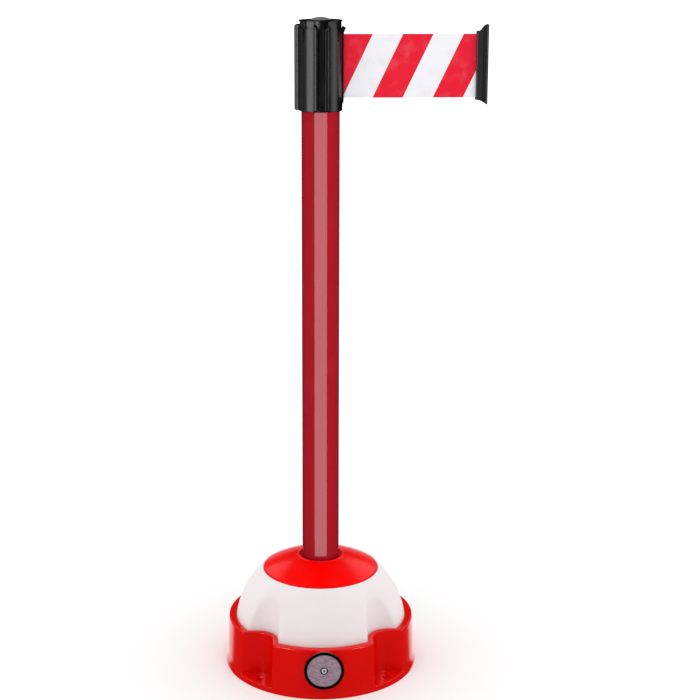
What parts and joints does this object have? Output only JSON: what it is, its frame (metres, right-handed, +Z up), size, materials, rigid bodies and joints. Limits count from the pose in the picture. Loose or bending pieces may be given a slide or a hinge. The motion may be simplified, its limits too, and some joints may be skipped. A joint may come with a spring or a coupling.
{
  "type": "retractable belt stanchion",
  "caption": "Free-standing post on a weighted round base, with a reel head that gives out a striped barrier belt ending in a clip.",
  "frame": {"origin": "on the floor, at the centre of the circle of floor bolt holes, on the post's axis", "axes": "+Z up along the post, +X the way the belt is drawn out, -Y the front, where the base's round fitting faces"},
  "size_m": [0.4188, 0.3216, 1.063],
  "materials": {
    "red_moulding": "satin",
    "red_cap_moulding": "satin",
    "white_moulding": "fine grain",
    "cast_weight": "rough",
    "grey_moulding": "plain",
    "black_moulding": "fine grain",
    "zinc_steel": "zinc plated",
    "disc_metal": "fine speckle",
    "red_tube": "gloss",
    "black_gloss": "gloss",
    "pale_moulding": "satin",
    "spindle_steel": "ground",
    "belt_fabric": "woven, printed stripes"
  },
  "bodies": {
    "stand": {"base_skirt": "red_moulding", "dome_shell": "white_moulding", "dome_cap": "red_cap_moulding", "ballast_block": "cast_weight", "post_socket": "grey_moulding", "bottom_plate": "black_moulding", "base_screws": "zinc_steel", "disc_cup": "black_moulding", "disc_face": "disc_metal", "disc_screw": "zinc_steel", "disc_nut": "zinc_steel", "post_tube": "red_tube", "tube_foot_plug": "grey_moulding", "post_bolt": "zinc_steel", "post_washer": "zinc_steel", "post_nut": "zinc_steel", "head_adapter": "grey_moulding", "head_screws": "zinc_steel", "head_housing": "black_gloss", "top_cap": "black_gloss", "cap_insert": "pale_moulding", "spindle": "spindle_steel", "spindle_nut": "zinc_steel", "thrust_washers": "grey_moulding"},
    "reel": {"spool": "grey_moulding", "spring_cup": "grey_moulding", "power_spring": "spindle_steel", "belt_roll": "belt_fabric"},
    "belt_end": {"belt_span": "belt_fabric", "clip_front": "black_moulding", "clip_back": "black_moulding", "clip_pin": "spindle_steel", "clip_screws": "zinc_steel"}
  },
  "joints": [
    {"name": "belt_pull", "type": "slide", "parent": "stand", "child": "belt_end", "axis": [1, 0, 0], "range_m": [-0.2045, 2.79], "stiffness_N_per_m": 1.2, "springref_m": -3, "deforming": ["belt_span"]},
    {"name": "spool_spin", "type": "hinge", "parent": "stand", "child": "reel", "pos_m": [0, 0, 0.98], "axis": [0, 0, 1], "range_deg": [-9300, 720], "deforming": ["power_spring"]}
  ],
  "couplings": [
    {"joint": "spool_spin", "follows": "belt_pull", "rad_per_m": -58}
  ]
}
